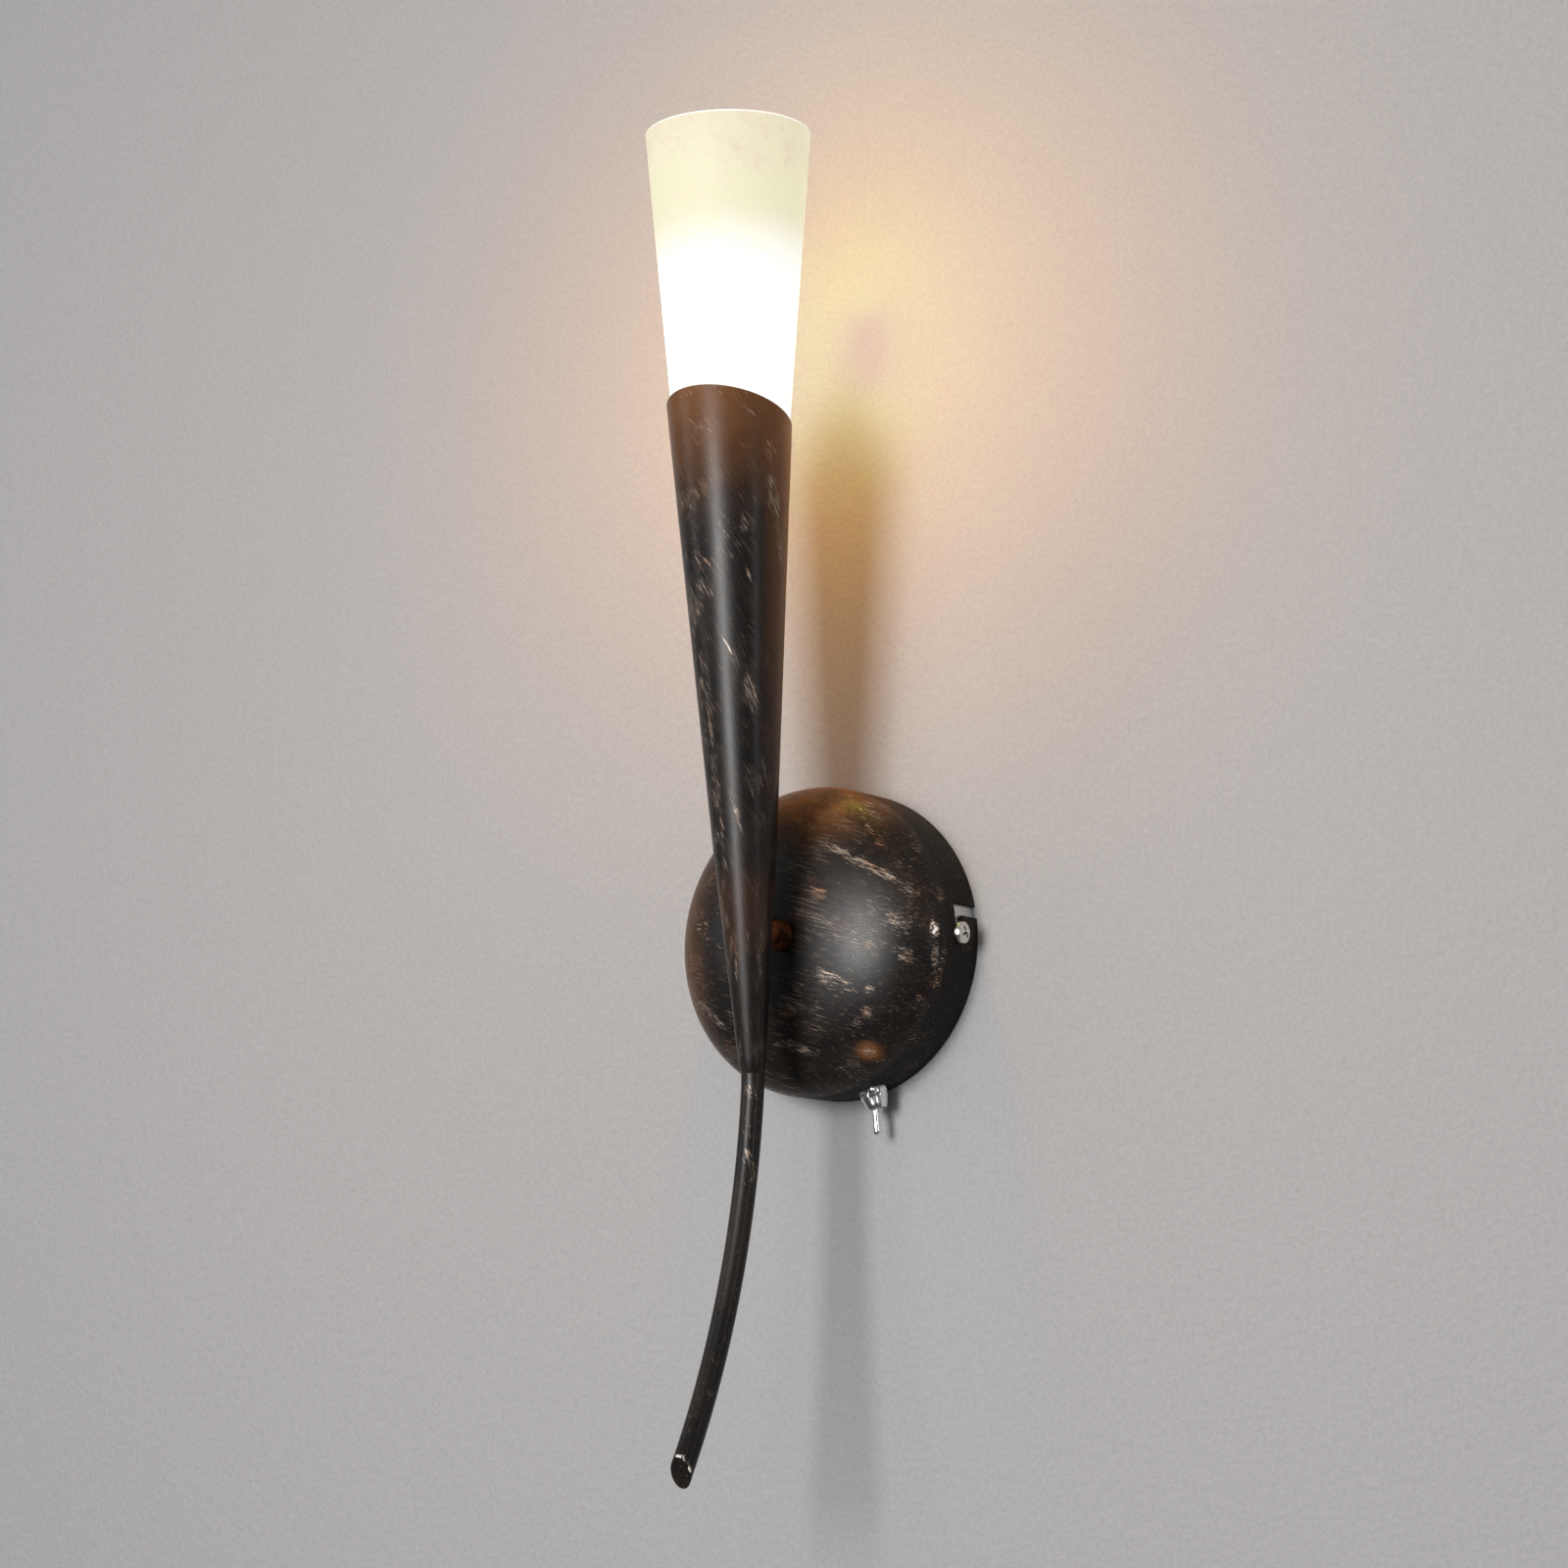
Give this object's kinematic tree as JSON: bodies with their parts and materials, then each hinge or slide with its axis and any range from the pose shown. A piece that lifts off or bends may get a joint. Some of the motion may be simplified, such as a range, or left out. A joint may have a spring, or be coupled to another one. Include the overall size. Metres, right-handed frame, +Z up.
{
  "type": "torch sconce",
  "caption": "Torch-shaped wall light: slender metal cone with a swept tail and a frosted glass shade, on a domed twist-lock canopy with a toggle switch.",
  "frame": {"origin": "centre of the canopy on the wall plane, midway between the two slotted wall holes", "axes": "+Z up, -Y out from the wall into the room, +X to the right as seen from the room"},
  "size_m": [0.1158, 0.1032, 0.4705],
  "materials": {
    "antique_paint": "satin near-black paint with hand-brushed copper marks",
    "copper_brown": "satin copper-brown paint",
    "zinc_sheet": "zinc-plated",
    "nickel": "bright nickel",
    "chrome": "polished chrome",
    "brass": "plain brass",
    "tinned": "tinned",
    "tungsten": "glowing wire",
    "white_plastic": "moulded",
    "red_plastic": "moulded",
    "silicone": "translucent white",
    "white_ceramic": "unglazed",
    "clear_glass": "clear",
    "frosted_glass": "frosted, clouded white",
    "brown_wire": "insulated",
    "blue_wire": "insulated",
    "green_wire": "insulated"
  },
  "bodies": {
    "wall_bracket": {"bracket_bar": "zinc_sheet", "canopy_screws": "nickel", "earth_cup_washer": "brass", "earth_screw": "brass"},
    "lamp": {"canopy_shell": "antique_paint", "arm_tube": "copper_brown", "arm_tooth_washer": "zinc_sheet", "earth_lug": "tinned", "terminal_strap": "zinc_sheet", "arm_lock_nut": "zinc_sheet", "wire_bush": "white_plastic", "terminal_housing": "white_plastic", "terminal_poles": "brass", "terminal_clamp_screws": "nickel", "terminal_fixing_screw": "nickel", "torch_cone": "antique_paint", "tail_rod": "antique_paint", "holder_plate": "zinc_sheet", "cushion_ring": "silicone", "lamp_holder": "white_ceramic", "holder_contacts": "brass", "holder_screws": "nickel", "holder_nuts": "zinc_sheet", "switch_body": "red_plastic", "switch_bushing": "chrome", "switch_inner_nut": "chrome", "switch_dress_nut": "chrome", "switch_leads": "tinned", "wire_lamp_live": "brown_wire", "wire_lamp_neutral": "blue_wire", "wire_switch_feed": "brown_wire", "wire_earth": "green_wire"},
    "lever": {"switch_lever": "chrome"},
    "bulb": {"bulb_envelope": "clear_glass", "bulb_pins": "tinned", "bulb_filament": "tungsten"},
    "shade": {"glass_shade": "frosted_glass"}
  },
  "joints": [
    {"name": "canopy_twist", "type": "hinge", "parent": "wall_bracket", "child": "lamp", "pos_m": [0, 0, 0], "axis": [0, 1, 0], "range_deg": [0, 8.9]},
    {"name": "switch_toggle", "type": "hinge", "parent": "lamp", "child": "lever", "pos_m": [0.01761, -0.0092, -0.05421], "axis": [0, -1, 0], "range_deg": [0, 25]},
    {"name": "shade_lift", "type": "slide", "parent": "lamp", "child": "shade", "axis": [0, -0.0231, 0.9997], "range_m": [0, 0.12]},
    {"name": "bulb_pull", "type": "slide", "parent": "lamp", "child": "bulb", "axis": [0, -0.0619, 0.9981], "range_m": [0, 0.13]}
  ]
}
